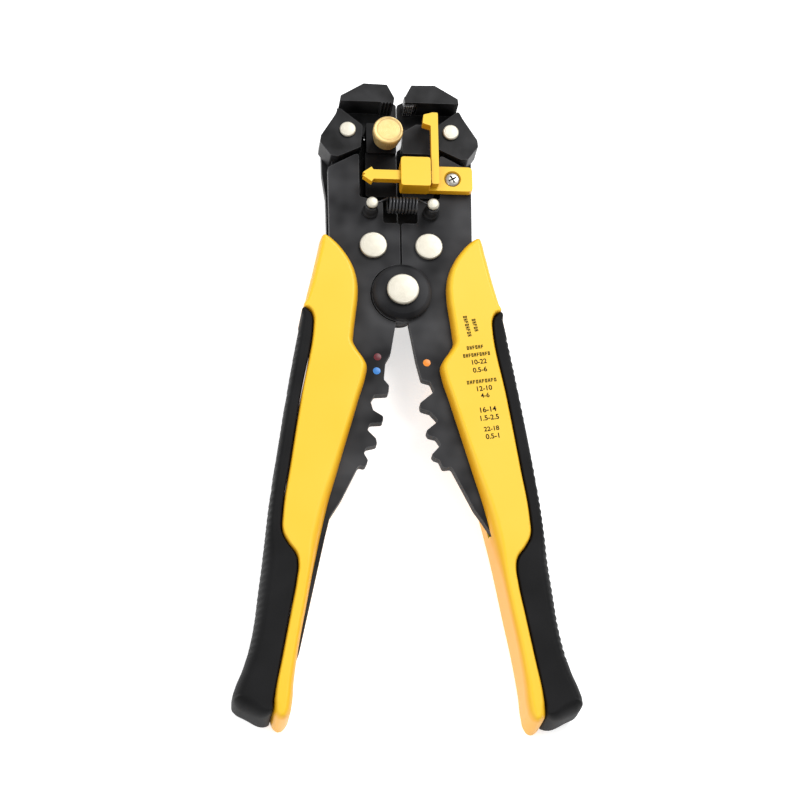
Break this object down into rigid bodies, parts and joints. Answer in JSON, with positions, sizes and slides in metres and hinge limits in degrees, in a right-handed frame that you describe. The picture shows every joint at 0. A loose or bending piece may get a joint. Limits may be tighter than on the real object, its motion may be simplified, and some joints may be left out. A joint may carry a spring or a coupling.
{
  "type": "self-adjusting wire stripper",
  "caption": "Plier-type self-adjusting wire stripper with gripping and stripping jaws, cutter, crimping nests, brass adjuster, sliding wire stop and yellow and black moulded grips.",
  "frame": {"origin": "centre of the tool's outline on the flat surface that its back lies on", "axes": "+Y along the tool's length towards the jaws, +Z out of its front face, +X to the right as seen from the front"},
  "size_m": [0.0992, 0.198, 0.0238],
  "materials": {
    "front_steel": "black oxide, satin",
    "inner_steel": "black oxide, oiled",
    "rivets": "nickel plated, satin",
    "brass": "turned and knurled",
    "blades": "ground",
    "yellow_plastic": "moulded, satin",
    "black_rubber": "moulded, matt",
    "spring_steel": "blackened"
  },
  "bodies": {
    "right_half": {"lower_blade_pack": "blades", "pivot_collar_back": "front_steel", "pivot_collar_front": "front_steel", "pivot_rivet": "rivets", "pivot_spacer": "inner_steel", "right_back_plate": "front_steel", "right_block_rivet": "rivets", "right_front_plate": "front_steel", "right_grip": "yellow_plastic", "right_jaw_pin": "rivets", "right_link_rivet": "rivets", "right_lower_jaw": "inner_steel", "right_overmould": "black_rubber", "right_spring_post": "rivets", "wire_stop_holder": "yellow_plastic", "wire_stop_screw": "rivets"},
    "left_half": {"adjust_stud": "rivets", "left_back_plate": "front_steel", "left_block_rivet": "rivets", "left_front_plate": "front_steel", "left_grip": "yellow_plastic", "left_jaw_pin": "rivets", "left_link_rivet": "rivets", "left_lower_jaw": "inner_steel", "left_overmould": "black_rubber", "left_spring_post": "rivets", "return_spring": "spring_steel"},
    "left_jaw": {"left_upper_jaw": "front_steel"},
    "right_jaw": {"right_upper_jaw": "front_steel", "upper_blade_pack": "blades"},
    "left_rocker": {"left_rocker": "inner_steel"},
    "right_rocker": {"right_rocker": "inner_steel"},
    "knob": {"adjust_knob": "brass"},
    "stop_rod": {"wire_stop_rod": "yellow_plastic"}
  },
  "joints": [
    {"name": "squeeze", "type": "hinge", "parent": "right_half", "child": "left_half", "pos_m": [0, 0.0315, 0.009], "axis": [0, 0, 1], "range_deg": [0, 19.5], "stiffness_Nm_per_rad": 1.2, "springref_deg": -20.05, "deforming": ["return_spring"]},
    {"name": "left_jaw_close", "type": "hinge", "parent": "left_half", "child": "left_jaw", "pos_m": [-0.0156, 0.0842, 0.009], "axis": [0, 0, 1], "range_deg": [-30.01, 0]},
    {"name": "right_jaw_close", "type": "hinge", "parent": "right_half", "child": "right_jaw", "pos_m": [0.0156, 0.0842, 0.009], "axis": [0, 0, 1], "range_deg": [0, 30.01]},
    {"name": "left_rocker_swing", "type": "hinge", "parent": "left_half", "child": "left_rocker", "pos_m": [-0.0083, 0.0467, 0.009], "axis": [0, 0, 1], "range_deg": [0, 12.51]},
    {"name": "right_rocker_swing", "type": "hinge", "parent": "right_half", "child": "right_rocker", "pos_m": [0.0083, 0.0467, 0.009], "axis": [0, 0, 1], "range_deg": [-12.51, 0]},
    {"name": "knob_turn", "type": "hinge", "parent": "left_half", "child": "knob", "pos_m": [-0.0042, 0.0807, 0.009], "axis": [0, 0, 1], "range_deg": [-360, 360]},
    {"name": "stop_slide", "type": "slide", "parent": "right_half", "child": "stop_rod", "axis": [1, 0, 0], "range_m": [0, 0.008]}
  ],
  "couplings": [
    {"joint": "left_jaw_close", "follows": "squeeze", "ratio": -1.5385},
    {"joint": "right_jaw_close", "follows": "squeeze", "ratio": 1.5385},
    {"joint": "left_rocker_swing", "follows": "squeeze", "ratio": 0.641},
    {"joint": "right_rocker_swing", "follows": "squeeze", "ratio": -0.641}
  ]
}
